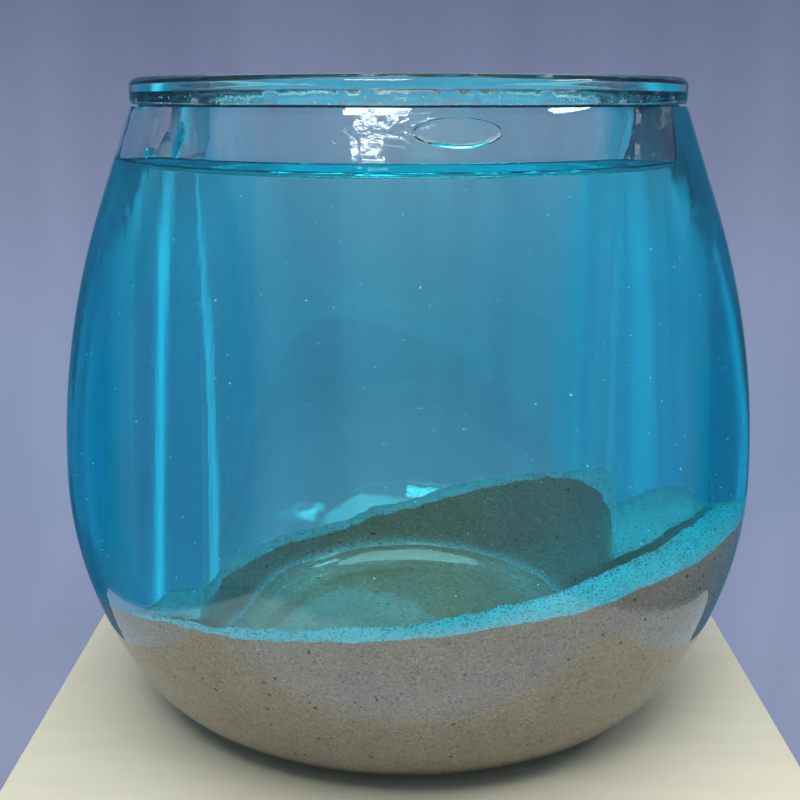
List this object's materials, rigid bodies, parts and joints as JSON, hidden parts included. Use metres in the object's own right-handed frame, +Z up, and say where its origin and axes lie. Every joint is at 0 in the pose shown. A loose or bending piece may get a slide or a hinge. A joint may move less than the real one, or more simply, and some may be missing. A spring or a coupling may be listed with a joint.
{
  "type": "double-wall sand and liquid glass",
  "caption": "Round-bellied double-walled glass: an open straight cup inside, and blue liquid with banked sand sealed between the walls under a bonded rim ring.",
  "frame": {"origin": "centre of the glass's underside, on the surface that it stands on", "axes": "+Z up along the glass's own axis, -Y is the front, +X the side where the sand lies highest"},
  "size_m": [0.095, 0.095, 0.0861],
  "materials": {
    "vessel_glass": "clear, polished",
    "cup_glass": "clear, polished",
    "ring_glass": "clear with a faint green edge",
    "seam": "uneven glue line with bubbles",
    "clear_bond": "clear glue",
    "seal_patch": "clear, uneven glue",
    "blue_liquid": "clear, dyed blue",
    "sand": "fine tan grains",
    "glitter": "bright flakes"
  },
  "bodies": {
    "vessel": {"outer_vessel": "vessel_glass", "inner_cup": "cup_glass", "rim_ring": "ring_glass", "rim_bond": "seam", "cup_bond": "clear_bond", "fill_plug": "seal_patch"},
    "contents": {"blue_liquid": "blue_liquid", "sand_bed": "sand", "glitter_flecks": "glitter"}
  },
  "joints": [
    {"name": "contents_swirl", "type": "hinge", "parent": "vessel", "child": "contents", "pos_m": [0, 0, 0], "axis": [0, 0, 1], "continuous": true}
  ]
}
